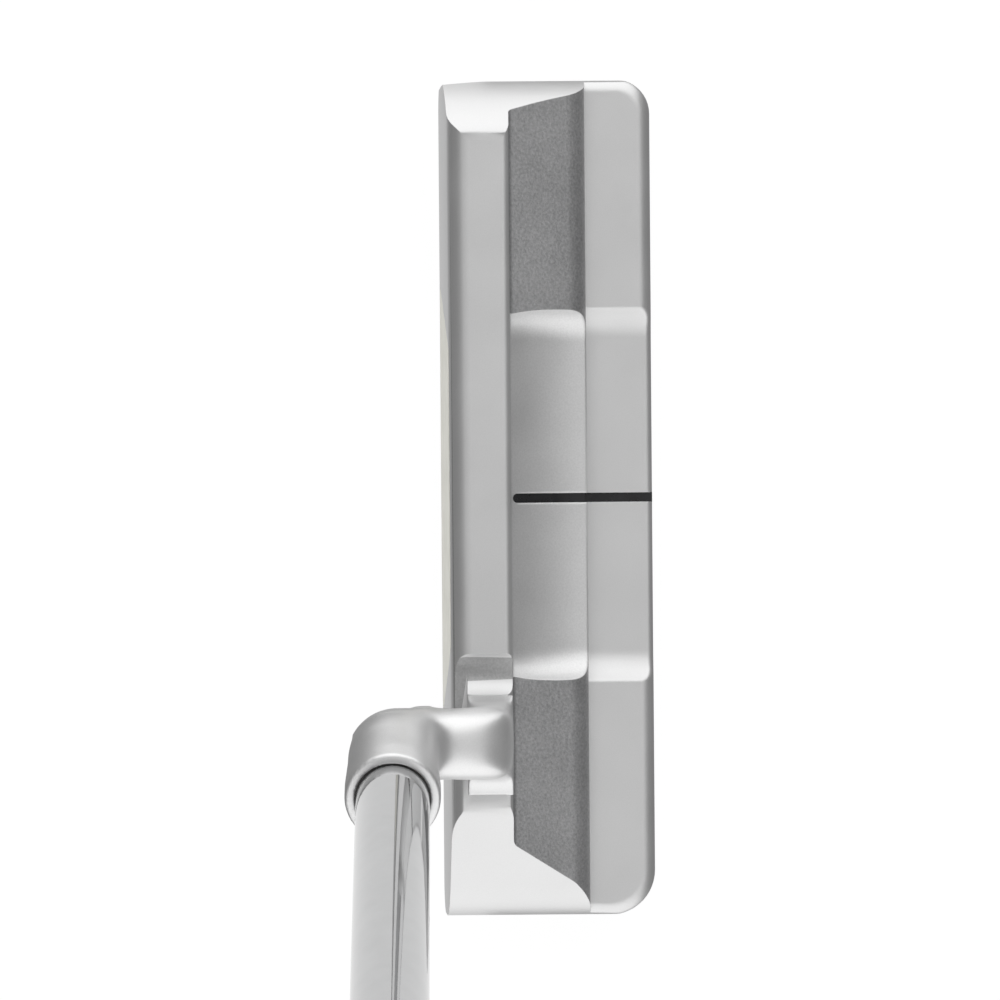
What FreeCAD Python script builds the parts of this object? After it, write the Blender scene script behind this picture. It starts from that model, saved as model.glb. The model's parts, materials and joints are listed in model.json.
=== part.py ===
"""Blade putter with a wide stepped flange, a plumber's neck and a face insert.

Millimetres. The origin is on the flat of the sole, at the middle of the head's length and width.
+Z is up, the face looks to -Y, the flange is at +Y, the toe is at -X and the heel is at +X.
"""
import FreeCAD
import Part
import math
import os

Vector = FreeCAD.Vector

# Head, overall
HEAD_LENGTH = 111.6
HEAD_WIDTH = 28.2
TOPLINE_HEIGHT = 25.4
LOFT = 3.0

# Head, lengthwise section: topline, shoulder, step and flange
TOPLINE_REAR_Y = -4.83
TOPLINE_FRONT_ROUND = 3.0
TOPLINE_REAR_ROUND = 1.0
SHOULDER_DROP = 3.3
SHOULDER_SLOPE = 23.5
SHOULDER_FOOT_ROUND = 0.7
SHOULDER_ROUND = 4.0
STEP_Y = 5.36
FLANGE_HEIGHT = 13.3
FLANGE_EDGE_ROUND = 1.8
STEP_FOOT_ROUND = 0.4
SOLE_EDGE_ROUND = 2.6
SOLE_BACK_RISE = 3.6
SOLE_BACK_FLAT_Y = 5.0
SOLE_BACK_BLEND = 14.0

# Head, profile seen from the face
TOE_CREASE = 7.4
TOE_CREASE_ROUND = 3.0
TOE_SLOPE = 46.7
TOE_ROUND = 23.6
HEEL_CREASE = 15.0
HEEL_CREASE_ROUND = 5.0
HEEL_SLOPE = 33.8
HEEL_ROUND = 10.0
SOLE_FLAT_HALF = 24.0
SOLE_END_RISE = 3.0
SOLE_END_ROUND = 4.5
SOLE_LONG_BLEND = 120.0

# Head, outline seen from above
TOE_BACK_CORNER = 4.6
HEEL_BACK_CORNER = 6.0
FRONT_CORNER = 0.8
TOE_SET_BACK = 0.75
TOE_STRAIGHT_Y = 7.0
TOE_BLEND = 20.0

# Recess between the two shoulders, and its shallow run across the flange
RECESS_CENTRE_X = -0.4
RECESS_HALF_LENGTH = 24.95
RECESS_END_ROUND = 5.0
RECESS_FRONT_HEIGHT = 19.6
RECESS_REAR_HEIGHT = 15.0
RECESS_SAG = 0.7
RECESS_FLANGE_DROP = 1.6
RECESS_FLANGE_HALF_LENGTH = 27.1
RECESS_FLANGE_END_ROUND = 6.6
RECESS_BACK_ROUND = 0.9

# Sightline groove and its paint
GROOVE_WIDTH = 1.25
GROOVE_DEPTH = 0.7
PAINT_THICKNESS = 0.3
GROOVE_START_GAP = 0.25
GROOVE_END_SHARE = 0.98

# Face insert
INSERT_BOTTOM_HALF = 29.0
INSERT_TOP_HALF = 20.2
INSERT_BOTTOM = 3.0
INSERT_HEIGHT = 20.2
INSERT_THICKNESS = 4.2
INSERT_CORNER = 1.4
INSERT_GAP = 0.08
ADHESIVE_THICKNESS = 0.15

# Sole weights
WEIGHT_SPACING = 74.0
WEIGHT_Y = 1.5
WEIGHT_HEAD_RADIUS = 6.0
WEIGHT_HEAD_THICKNESS = 1.8
WEIGHT_CHAMFER = 0.3
WEIGHT_BODY_RADIUS = 5.0
WEIGHT_BODY_LENGTH = 6.0
WEIGHT_RECESS = 2.0
WEIGHT_GAP = 0.05
WEIGHT_FLOOR_GAP = 0.3
SOCKET_ACROSS_FLATS = 4.0
SOCKET_DEPTH = 2.6
GASKET_THICKNESS = 0.5

# Neck: post, arm and hosel tube
LIE = 70.0
MOUTH = Vector(37.6, -20.42, 62.0)
HOSEL_WALL = 1.3
HOSEL_LENGTH = 24.5
HOSEL_END_ROUND = 4.0
HOSEL_RIM_ROUND = 0.35
BORE_DEPTH = 15.5
BORE_CHAMFER = 0.13
POST_TOE_X = 26.7
POST_HEEL_X = 36.5
POST_THICKNESS = 6.0
ARM_TOP = 45.0
ARM_DEPTH = 6.8
ARM_TOP_TAPER = 1.3
ARM_TAPER_HEIGHT = 4.2
ARM_SIDE_ROUND = 3.0
NECK_OUTER_BEND = 6.0
NECK_INNER_BEND = 3.0
ELBOW_CORNER = 6.6
ELBOW_INSET = 0.2
ELBOW_CLEARANCE = 0.05
ARM_PAST_HOSEL = 1.0
ROOT_ROUND = 3.65
ROOT_DEPTH = 1.2
ROOT_END_SHARE = 0.999
HEEL_ROOT_ROUND = 2.8
SPIGOT_RADIUS = 2.4
SPIGOT_LENGTH = 9.0
SPIGOT_GAP = 0.02
SPIGOT_FLOOR_GAP = 0.3
SPIGOT_CHAMFER = 0.4
WELD_OVERLAP = 5.0

# Shaft
CLUB_LENGTH = 863.6
TIP_RADIUS = 4.7
BUTT_RADIUS = 7.365
SHAFT_WALL = 0.55
FIRST_STEP = 150.0
STEP_COUNT = 10
LAST_STEP_BELOW_GRIP = 48.0
BOND_GAP = 0.1
BOND_FLOOR = 0.5
PLUG_LENGTH = 12.0
LABEL_LENGTH = 32.0
LABEL_THICKNESS = 0.12
LABEL_BELOW_GRIP = 8.0

# Grip
GRIP_LENGTH = 265.0
TAPE_THICKNESS = 0.2
TAPE_SET_BACK = 3.0
CAP_THICKNESS = 3.4
CAP_EDGE_ROUND = 1.2
GRIP_FRONT_SHARE = 0.8
GRIP_BACK_SHARE = 0.62
GRIP_SIDE_BULGE = 1.2
# Each grip station: share of the length, rubber in front of, behind and beside the tape, front and back rounds
GRIP_STATIONS = (
    (0.00, 1.33, 1.73, 1.63, 3.0, 4.3),
    (0.12, 2.03, 3.03, 2.63, 3.0, 4.7),
    (0.40, 3.03, 4.83, 4.03, 3.2, 5.4),
    (0.66, 3.63, 6.03, 4.83, 3.4, 5.8),
    (0.84, 4.03, 8.63, 5.43, 3.6, 6.1),
    (0.94, 4.43, 12.03, 6.03, 3.8, 6.5),
    (1.00, 4.63, 13.03, 6.23, 4.0, 6.6),
)

# Values worked out from the ones above
HALF_LENGTH = HEAD_LENGTH / 2
FRONT_Y = -HEAD_WIDTH / 2
BACK_Y = HEAD_WIDTH / 2
FACE_SLOPE = math.tan(math.radians(LOFT))
FACE_FOOT_Y = FRONT_Y - SOLE_EDGE_ROUND * FACE_SLOPE
SHOULDER_FRONT_HEIGHT = TOPLINE_HEIGHT - SHOULDER_DROP
SHOULDER_REAR_HEIGHT = SHOULDER_FRONT_HEIGHT - (STEP_Y - TOPLINE_REAR_Y) * math.tan(math.radians(SHOULDER_SLOPE))
RECESS_FLANGE_HEIGHT = FLANGE_HEIGHT - RECESS_FLANGE_DROP
SHAFT_AXIS = Vector(math.cos(math.radians(LIE)), 0, math.sin(math.radians(LIE)))
GRIP_FRONT = Vector(-math.sin(math.radians(LIE)), 0, math.cos(math.radians(LIE)))
POST_REAR_Y = TOPLINE_REAR_Y
POST_FRONT_Y = POST_REAR_Y - POST_THICKNESS
ARM_BOTTOM = ARM_TOP - ARM_DEPTH
BORE_RADIUS = TIP_RADIUS + BOND_GAP
HOSEL_RADIUS = BORE_RADIUS + HOSEL_WALL
MOUTH_TO_GROUND = MOUTH.z / math.sin(math.radians(LIE))
BUTT_END = CLUB_LENGTH - MOUTH_TO_GROUND
CAP_START = BUTT_END - CAP_THICKNESS
GRIP_START = CAP_START - GRIP_LENGTH
TIP_START = BOND_FLOOR - BORE_DEPTH
TAPE_RADIUS = BUTT_RADIUS + TAPE_THICKNESS
BIG = 200.0
CLEAR = 10.0
TINY = 1e-6


def in_yz(x):
    return lambda y, z: Vector(x, y, z)


def in_xz(y):
    return lambda x, z: Vector(x, y, z)


def in_xy(z):
    return lambda x, y: Vector(x, y, z)


def rounded_wire(corners, place):
    """Closed wire through corners (u, v, round radius); place turns (u, v) into a point."""
    count = len(corners)
    pieces = []
    for index in range(count):
        before = corners[index - 1]
        here = corners[index]
        after = corners[(index + 1) % count]
        back = Vector(before[0] - here[0], before[1] - here[1], 0)
        ahead = Vector(after[0] - here[0], after[1] - here[1], 0)
        back.normalize()
        ahead.normalize()
        corner = Vector(here[0], here[1], 0)
        if here[2] == 0:
            pieces.append((corner, corner, corner))
            continue
        half = back.getAngle(ahead) / 2
        reach = here[2] / math.tan(half)
        middle = back + ahead
        middle.normalize()
        bulge = here[2] / math.sin(half) - here[2]
        pieces.append((corner + back * reach, corner + middle * bulge, corner + ahead * reach))
    edges = []
    for index in range(count):
        start, middle, end = (place(p.x, p.y) for p in pieces[index])
        following = place(pieces[(index + 1) % count][0].x, pieces[(index + 1) % count][0].y)
        if start.distanceToPoint(end) > 1e-7:
            edges.append(Part.Arc(start, middle, end).toShape())
        if end.distanceToPoint(following) > 1e-6:
            edges.append(Part.LineSegment(end, following).toShape())
    return Part.Wire(edges)


def prism(corners, place, direction):
    """Solid made by pushing a rounded outline along a direction."""
    return Part.Face(rounded_wire(corners, place)).extrude(direction)


def block(low, high):
    """Box between two opposite corners."""
    return Part.makeBox(high[0] - low[0], high[1] - low[1], high[2] - low[2], Vector(*low))


def on_axis(distance):
    """Point on the shaft's axis, measured up from the middle of the hosel's mouth."""
    return MOUTH + SHAFT_AXIS * distance


def rod(radius, start, end):
    """Cylinder on the shaft's axis."""
    return Part.makeCylinder(radius, end - start, on_axis(start), SHAFT_AXIS)


def edges_where(shape, test):
    return [edge for edge in shape.Edges if test(edge)]


# Head ------------------------------------------------------------------------------------------

def head_section():
    """The head's section from face to back, pushed along its whole length."""
    corners = (
        (FACE_FOOT_Y, 0.0, SOLE_EDGE_ROUND),
        (FACE_FOOT_Y + TOPLINE_HEIGHT * FACE_SLOPE, TOPLINE_HEIGHT, TOPLINE_FRONT_ROUND),
        (TOPLINE_REAR_Y, TOPLINE_HEIGHT, TOPLINE_REAR_ROUND),
        (TOPLINE_REAR_Y, SHOULDER_FRONT_HEIGHT, SHOULDER_FOOT_ROUND),
        (STEP_Y, SHOULDER_REAR_HEIGHT, SHOULDER_ROUND),
        (STEP_Y, FLANGE_HEIGHT, STEP_FOOT_ROUND),
        (BACK_Y, FLANGE_HEIGHT, 0),
        (BACK_Y, SOLE_BACK_RISE, SOLE_EDGE_ROUND),
        (SOLE_BACK_FLAT_Y, 0.0, SOLE_BACK_BLEND),
    )
    return prism(corners, in_yz(-BIG), Vector(2 * BIG, 0, 0))


def head_profile():
    """The head's outline seen from the face, pushed through its whole width."""
    toe_fall = TOE_CREASE * math.tan(math.radians(TOE_SLOPE))
    heel_fall = HEEL_CREASE * math.tan(math.radians(HEEL_SLOPE))
    corners = (
        (-HALF_LENGTH + TOE_CREASE, TOPLINE_HEIGHT, TOE_CREASE_ROUND),
        (HALF_LENGTH - HEEL_CREASE, TOPLINE_HEIGHT, HEEL_CREASE_ROUND),
        (HALF_LENGTH, TOPLINE_HEIGHT - heel_fall, HEEL_ROUND),
        (HALF_LENGTH, SOLE_END_RISE, SOLE_END_ROUND),
        (SOLE_FLAT_HALF, 0.0, SOLE_LONG_BLEND),
        (-SOLE_FLAT_HALF, 0.0, SOLE_LONG_BLEND),
        (-HALF_LENGTH, SOLE_END_RISE, SOLE_END_ROUND),
        (-HALF_LENGTH, TOPLINE_HEIGHT - toe_fall, TOE_ROUND),
    )
    return prism(corners, in_xz(-BIG), Vector(0, 2 * BIG, 0))


def head_plan():
    """The head's outline seen from above, pushed through its whole height."""
    front = FACE_FOOT_Y
    corners = (
        (-HALF_LENGTH + TOE_SET_BACK, front, FRONT_CORNER),
        (HALF_LENGTH, front, FRONT_CORNER),
        (HALF_LENGTH, BACK_Y, HEEL_BACK_CORNER),
        (-HALF_LENGTH, BACK_Y, TOE_BACK_CORNER),
        (-HALF_LENGTH, front + TOE_STRAIGHT_Y, TOE_BLEND),
    )
    return prism(corners, in_xy(-BIG), Vector(0, 0, 2 * BIG))


def head_blank():
    """Outline from above at its two heights: full height in front of the step, and the rounded flange."""
    plan = head_plan()
    front = plan.common(block((-BIG, -BIG, -BIG), (BIG, STEP_Y, BIG)))
    flange = plan.common(block((-BIG, -BIG, -BIG), (BIG, BIG, FLANGE_HEIGHT)))
    top = edges_where(flange, lambda e: abs(e.BoundBox.ZMin - FLANGE_HEIGHT) < 1e-5
                      and e.BoundBox.YMax > STEP_Y)
    return flange.makeFillet(FLANGE_EDGE_ROUND, top).fuse(front)


def recess_floor(drop, lift_to):
    """Section above the recess's floor, lowered by drop: the concave front part."""
    front = Vector(0, TOPLINE_REAR_Y, RECESS_FRONT_HEIGHT - drop)
    rear = Vector(0, STEP_Y, RECESS_REAR_HEIGHT - drop)
    middle = (front + rear) * 0.5 - Vector(0, 0, RECESS_SAG)
    edges = [
        Part.Arc(front, middle, rear).toShape(),
        Part.LineSegment(rear, Vector(0, STEP_Y, lift_to)).toShape(),
        Part.LineSegment(Vector(0, STEP_Y, lift_to), Vector(0, TOPLINE_REAR_Y, lift_to)).toShape(),
        Part.LineSegment(Vector(0, TOPLINE_REAR_Y, lift_to), front).toShape(),
    ]
    return Part.Face(Part.Wire(edges))


def recess_cutter():
    """What the recess removes: over the concave floor and over the middle of the flange."""
    top = TOPLINE_HEIGHT + CLEAR
    floor = recess_floor(0, top)
    floor.translate(Vector(RECESS_CENTRE_X - RECESS_HALF_LENGTH, 0, 0))
    over_floor = floor.extrude(Vector(2 * RECESS_HALF_LENGTH, 0, 0))
    low_ends = edges_where(over_floor, lambda e: e.BoundBox.XLength < 1e-6 and e.BoundBox.ZMax < top - 1
                           and e.BoundBox.YLength > 1)
    over_floor = over_floor.makeFillet(RECESS_END_ROUND, low_ends)
    low = (RECESS_CENTRE_X - RECESS_FLANGE_HALF_LENGTH, STEP_Y, RECESS_FLANGE_HEIGHT)
    high = (RECESS_CENTRE_X + RECESS_FLANGE_HALF_LENGTH, BACK_Y + CLEAR, top)
    over_flange = block(low, high)
    low_ends = edges_where(over_flange, lambda e: e.BoundBox.XLength < 1e-6
                           and abs(e.BoundBox.ZMax - RECESS_FLANGE_HEIGHT) < 1e-6)
    over_flange = over_flange.makeFillet(RECESS_FLANGE_END_ROUND, low_ends)
    return over_floor.fuse(over_flange)


def groove_cutter(depth):
    """Slot of even depth under the recess's floor, round at the front and open at the back."""
    top = TOPLINE_HEIGHT + CLEAR
    half = GROOVE_WIDTH / 2
    floor = recess_floor(depth, top)
    floor.translate(Vector(-half, 0, 0))
    over_floor = floor.extrude(Vector(GROOVE_WIDTH, 0, 0))
    over_flange = block((-half, STEP_Y - GROOVE_DEPTH / 2, RECESS_FLANGE_HEIGHT - depth), (half, BACK_Y + CLEAR, top))
    start = TOPLINE_REAR_Y + GROOVE_START_GAP
    corners = (
        (-half, start, half * GROOVE_END_SHARE),
        (half, start, half * GROOVE_END_SHARE),
        (half, BACK_Y + CLEAR, 0),
        (-half, BACK_Y + CLEAR, 0),
    )
    slot = prism(corners, in_xy(-BIG), Vector(0, 0, 2 * BIG))
    return over_floor.fuse(over_flange).common(slot)


def insert_prism(grow, front, depth):
    """The insert's outline, grown evenly, pushed back from the face plane."""
    corners = (
        (-INSERT_BOTTOM_HALF, INSERT_BOTTOM, INSERT_CORNER),
        (INSERT_BOTTOM_HALF, INSERT_BOTTOM, INSERT_CORNER),
        (INSERT_TOP_HALF, INSERT_BOTTOM + INSERT_HEIGHT, INSERT_CORNER),
        (-INSERT_TOP_HALF, INSERT_BOTTOM + INSERT_HEIGHT, INSERT_CORNER),
    )
    face = Part.Face(rounded_wire(corners, in_xz(front)))
    if grow > 0:
        face = face.makeOffset2D(grow)
    solid = face.extrude(Vector(0, depth, 0))
    solid.rotate(Vector(0, 0, 0), Vector(1, 0, 0), -LOFT)
    solid.translate(Vector(0, FACE_FOOT_Y, 0))
    return solid


def weight_places():
    """Toe and heel weight axes, at the level of the weight's outer face."""
    return {
        "toe": Vector(-WEIGHT_SPACING / 2, WEIGHT_Y, WEIGHT_RECESS),
        "heel": Vector(WEIGHT_SPACING / 2, WEIGHT_Y, WEIGHT_RECESS),
    }


def weight_cutter(place):
    """Counterbored blind hole for one sole weight and its gasket."""
    up = Vector(0, 0, 1)
    seat = WEIGHT_HEAD_THICKNESS + GASKET_THICKNESS
    mouth = Part.makeCylinder(WEIGHT_HEAD_RADIUS + WEIGHT_GAP, BIG, place - up * BIG, up)
    counterbore = Part.makeCylinder(WEIGHT_HEAD_RADIUS + WEIGHT_GAP, seat, place, up)
    deep = seat + WEIGHT_BODY_LENGTH + WEIGHT_FLOOR_GAP
    hole = Part.makeCylinder(WEIGHT_BODY_RADIUS + WEIGHT_GAP, deep, place, up)
    return mouth.fuse(counterbore).fuse(hole)


def root_cutter():
    """Round-ended channel that forms the root of the neck: across the toe side and along the front."""
    floor = TOPLINE_HEIGHT - ROOT_DEPTH
    toe_end = POST_TOE_X - 2 * ROOT_ROUND
    across = Part.makeCylinder(ROOT_ROUND, 2 * BIG, Vector(POST_TOE_X - ROOT_ROUND, -BIG, floor + ROOT_ROUND),
                               Vector(0, 1, 0))
    corners = (
        (toe_end, BIG, 0),
        (toe_end, floor, ROOT_ROUND * ROOT_END_SHARE),
        (POST_HEEL_X, floor, ROOT_ROUND * ROOT_END_SHARE),
        (POST_HEEL_X, BIG, 0),
    )
    along = prism(corners, in_xz(-BIG), Vector(0, BIG + POST_FRONT_Y, 0))
    return across.fuse(along)


def spigot_place():
    return Vector((POST_TOE_X + POST_HEEL_X) / 2, (POST_FRONT_Y + POST_REAR_Y) / 2, TOPLINE_HEIGHT)


def recess_back_edges(head):
    """Where the recess runs out through the flange's back edge."""
    inside = FLANGE_EDGE_ROUND
    return edges_where(head, lambda e: e.BoundBox.YMin > BACK_Y - inside - 1e-3
                       and e.BoundBox.ZMin > RECESS_FLANGE_HEIGHT - 0.1
                       and e.BoundBox.ZMax < FLANGE_HEIGHT + 1e-3
                       and abs(e.BoundBox.Center.x) < RECESS_HALF_LENGTH)


def make_head_body():
    head = head_blank().common(head_section()).common(head_profile())
    head = head.cut(recess_cutter())
    head = head.makeFillet(RECESS_BACK_ROUND, recess_back_edges(head))
    head = head.cut(groove_cutter(GROOVE_DEPTH))
    head = head.cut(insert_prism(INSERT_GAP, -BIG, BIG + INSERT_THICKNESS + ADHESIVE_THICKNESS))
    for place in weight_places().values():
        head = head.cut(weight_cutter(place))
    head = head.cut(root_cutter())
    depth = SPIGOT_LENGTH + SPIGOT_FLOOR_GAP
    hole = Part.makeCylinder(SPIGOT_RADIUS + SPIGOT_GAP, depth, spigot_place(), Vector(0, 0, -1))
    return head.cut(hole)


def make_sightline_paint():
    """Paint laid in the bottom of the groove, trimmed to the rounded back edge."""
    layer = groove_cutter(GROOVE_DEPTH).cut(groove_cutter(GROOVE_DEPTH - PAINT_THICKNESS))
    return layer.common(block((-BIG, -BIG, -BIG), (BIG, BACK_Y, BIG)))


def make_face_insert():
    return insert_prism(0, 0, INSERT_THICKNESS)


def make_insert_adhesive():
    return insert_prism(0, INSERT_THICKNESS, ADHESIVE_THICKNESS)


def make_weight(place):
    """Flanged sole weight with a six-sided key socket in its outer face."""
    up = Vector(0, 0, 1)
    head = Part.makeCylinder(WEIGHT_HEAD_RADIUS, WEIGHT_HEAD_THICKNESS, place, up)
    rim = edges_where(head, lambda e: abs(e.BoundBox.ZMax - place.z) < 1e-6)
    head = head.makeChamfer(WEIGHT_CHAMFER, rim)
    body_length = GASKET_THICKNESS + WEIGHT_BODY_LENGTH
    body = Part.makeCylinder(WEIGHT_BODY_RADIUS, body_length, place + up * WEIGHT_HEAD_THICKNESS, up)
    across_corners = SOCKET_ACROSS_FLATS / math.cos(math.radians(30))
    socket = Part.makePolygon([
        place + Vector(math.cos(math.radians(60 * i)), math.sin(math.radians(60 * i)), 0) * (across_corners / 2)
        for i in range(7)
    ])
    key = Part.Face(socket).extrude(up * SOCKET_DEPTH)
    return head.fuse(body).removeSplitter().cut(key)


def make_gasket(place):
    """Thin washer under a sole weight's flange."""
    up = Vector(0, 0, 1)
    seat = place + up * WEIGHT_HEAD_THICKNESS
    disc = Part.makeCylinder(WEIGHT_HEAD_RADIUS, GASKET_THICKNESS, seat, up)
    return disc.cut(Part.makeCylinder(WEIGHT_BODY_RADIUS + WEIGHT_GAP, GASKET_THICKNESS, seat, up))


# Neck ------------------------------------------------------------------------------------------

def neck_bar():
    """Post and arm as one bent bar, with the root fillets that meet the topline."""
    low = TOPLINE_HEIGHT - WELD_OVERLAP
    bend = (
        (POST_FRONT_Y, low, 0),
        (POST_REAR_Y, low, 0),
        (POST_REAR_Y, ARM_TOP, NECK_OUTER_BEND),
        (MOUTH.y - ARM_PAST_HOSEL, ARM_TOP, 0),
        (MOUTH.y - ARM_PAST_HOSEL, ARM_BOTTOM, 0),
        (POST_FRONT_Y, ARM_BOTTOM, NECK_INNER_BEND),
    )
    bar = prism(bend, in_yz(-BIG), Vector(2 * BIG, 0, 0))
    shoulder = ARM_TOP - ARM_TAPER_HEIGHT
    root = TOPLINE_HEIGHT - ROOT_DEPTH
    outline = (
        (POST_TOE_X - 2 * ROOT_ROUND, low, 0),
        (POST_TOE_X - 2 * ROOT_ROUND, root, 0),
        (POST_TOE_X, root, ROOT_ROUND),
        (POST_TOE_X, shoulder, ARM_SIDE_ROUND),
        (POST_TOE_X + ARM_TOP_TAPER, ARM_TOP, 0),
        (POST_HEEL_X - ARM_TOP_TAPER, ARM_TOP, 0),
        (POST_HEEL_X, shoulder, ARM_SIDE_ROUND),
        (POST_HEEL_X, TOPLINE_HEIGHT, HEEL_ROOT_ROUND),
        (POST_HEEL_X + 2 * HEEL_ROOT_ROUND, TOPLINE_HEIGHT, 0),
        (POST_HEEL_X + 2 * HEEL_ROOT_ROUND, low, 0),
    )
    bar = bar.common(prism(outline, in_xz(-BIG), Vector(0, 2 * BIG, 0)))
    end_round = (POST_HEEL_X - POST_TOE_X) / 2 - ELBOW_INSET
    plan = (
        (POST_TOE_X - BIG, POST_FRONT_Y, 0),
        (POST_TOE_X, POST_FRONT_Y, 0),
        (POST_TOE_X, MOUTH.y - ARM_PAST_HOSEL, end_round),
        (POST_HEEL_X, MOUTH.y - ARM_PAST_HOSEL, end_round),
        (POST_HEEL_X, POST_FRONT_Y, 0),
        (POST_HEEL_X + BIG, POST_FRONT_Y, 0),
        (POST_HEEL_X + BIG, BIG, 0),
        (POST_TOE_X - BIG, BIG, 0),
    )
    bar = bar.common(prism(plan, in_xy(-BIG), Vector(0, 0, 2 * BIG)))
    return bar.common(block((-BIG, -BIG, TOPLINE_HEIGHT), (BIG, BIG, BIG)))


def hosel_tube():
    """Leaning tube whose foot is trimmed flush with the toe side of the arm."""
    tube = rod(HOSEL_RADIUS, -HOSEL_LENGTH, 0)
    middle_height = on_axis(-HOSEL_LENGTH / 2).z
    rim = edges_where(tube, lambda e: e.BoundBox.ZMin > middle_height and e.Closed)
    tube = tube.makeFillet(HOSEL_RIM_ROUND, rim)
    foot = edges_where(tube, lambda e: e.BoundBox.ZMax < middle_height and e.Closed)
    tube = tube.makeFillet(HOSEL_END_ROUND, foot)
    front = MOUTH.y - HOSEL_RADIUS - ELBOW_CLEARANCE
    plan = (
        (POST_TOE_X + ELBOW_INSET, BIG, 0),
        (POST_TOE_X + ELBOW_INSET, front, ELBOW_CORNER),
        (BIG, front, 0),
        (BIG, BIG, 0),
    )
    return tube.common(prism(plan, in_xy(-BIG), Vector(0, 0, 2 * BIG)))


def bore():
    """Blind bore for the shaft's tip, with a small chamfer at the mouth."""
    hole = rod(BORE_RADIUS, -BORE_DEPTH, 1)
    cone = Part.makeCone(BORE_RADIUS, BORE_RADIUS + 2 * BORE_CHAMFER, 2 * BORE_CHAMFER,
                         on_axis(-BORE_CHAMFER), SHAFT_AXIS)
    return hole.fuse(cone)


def make_neck():
    neck = neck_bar().fuse(hosel_tube()).removeSplitter()
    spigot = Part.makeCylinder(SPIGOT_RADIUS, SPIGOT_LENGTH, spigot_place(), Vector(0, 0, -1))
    tip = edges_where(spigot, lambda e: e.BoundBox.ZMax < TOPLINE_HEIGHT - SPIGOT_LENGTH + 0.1 and e.Closed)
    spigot = spigot.makeChamfer(SPIGOT_CHAMFER, tip)
    return neck.fuse(spigot).cut(bore())


# Shaft and what is in and on it ----------------------------------------------------------------

def stepped_rod(stations, end):
    """Stepped rod on the shaft's axis from (start, radius) stations."""
    result = None
    for index, (start, radius) in enumerate(stations):
        stop = stations[index + 1][0] if index + 1 < len(stations) else end
        piece = rod(radius, start, stop)
        result = piece if result is None else result.fuse(piece)
    return result.removeSplitter()


def shaft_stations(inset):
    """Where each stepped length of the shaft starts, and its radius less inset."""
    first = TIP_START + FIRST_STEP
    last = GRIP_START - LAST_STEP_BELOW_GRIP
    pitch = (last - first) / (STEP_COUNT - 1)
    growth = (BUTT_RADIUS - TIP_RADIUS) / STEP_COUNT
    stations = [(TIP_START, TIP_RADIUS - inset)]
    for index in range(STEP_COUNT):
        stations.append((first + pitch * index, TIP_RADIUS - inset + growth * (index + 1)))
    return stations


def make_shaft():
    outside = stepped_rod(shaft_stations(0), CAP_START)
    inside = stepped_rod(shaft_stations(SHAFT_WALL), CAP_START)
    return outside.cut(inside)


def make_shaft_epoxy():
    """Film between the shaft's tip and the bore, and the pool under the tip."""
    film = rod(BORE_RADIUS, -BORE_DEPTH, -BORE_CHAMFER)
    return film.cut(rod(TIP_RADIUS, TIP_START, 1))


def make_tip_plug():
    """Plug pushed inside the tip so that no epoxy runs up the shaft."""
    return rod(TIP_RADIUS - SHAFT_WALL, TIP_START, TIP_START + PLUG_LENGTH)


def make_shaft_label():
    """Plain foil band just below the grip."""
    top = GRIP_START - LABEL_BELOW_GRIP
    band = rod(BUTT_RADIUS + LABEL_THICKNESS, top - LABEL_LENGTH, top)
    return band.cut(rod(BUTT_RADIUS, top - LABEL_LENGTH, top))


def make_grip_tape():
    tape = rod(TAPE_RADIUS, GRIP_START + TAPE_SET_BACK, CAP_START)
    return tape.cut(rod(BUTT_RADIUS, GRIP_START + TAPE_SET_BACK, CAP_START))


def grip_wire(distance, in_front, behind, beside, front_round, back_round):
    """Flat-fronted grip section at one distance along the shaft, from the rubber's thickness over the tape."""
    centre = on_axis(distance)
    front = TAPE_RADIUS + in_front
    back = -TAPE_RADIUS - behind
    side = TAPE_RADIUS + beside
    corners = (
        (front, side * GRIP_FRONT_SHARE, front_round),
        (front, -side * GRIP_FRONT_SHARE, front_round),
        (0, -side, side * GRIP_SIDE_BULGE),
        (back, -side * GRIP_BACK_SHARE, back_round),
        (back, side * GRIP_BACK_SHARE, back_round),
        (0, side, side * GRIP_SIDE_BULGE),
    )
    return rounded_wire(corners, lambda u, v: centre + GRIP_FRONT * u + Vector(0, v, 0))


def make_grip():
    """Pistol-shaped grip: thicker behind towards the butt, flat in front for the thumbs."""
    wires = []
    for share, *sizes in GRIP_STATIONS:
        wires.append(grip_wire(GRIP_START + share * GRIP_LENGTH, *sizes))
    body = Part.makeLoft(wires, True, False)
    return body.cut(rod(TAPE_RADIUS, GRIP_START - 1, CAP_START + 1))


def make_grip_cap():
    """Moulded cap that closes the butt of the grip."""
    wire = grip_wire(CAP_START, *GRIP_STATIONS[-1][1:])
    cap = Part.Face(wire).extrude(SHAFT_AXIS * CAP_THICKNESS)
    outer_height = on_axis(BUTT_END)
    rim = edges_where(cap, lambda e: all(abs((v.Point - outer_height).dot(SHAFT_AXIS)) < 1e-6 for v in e.Vertexes))
    return cap.makeFillet(CAP_EDGE_ROUND, rim)


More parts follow.
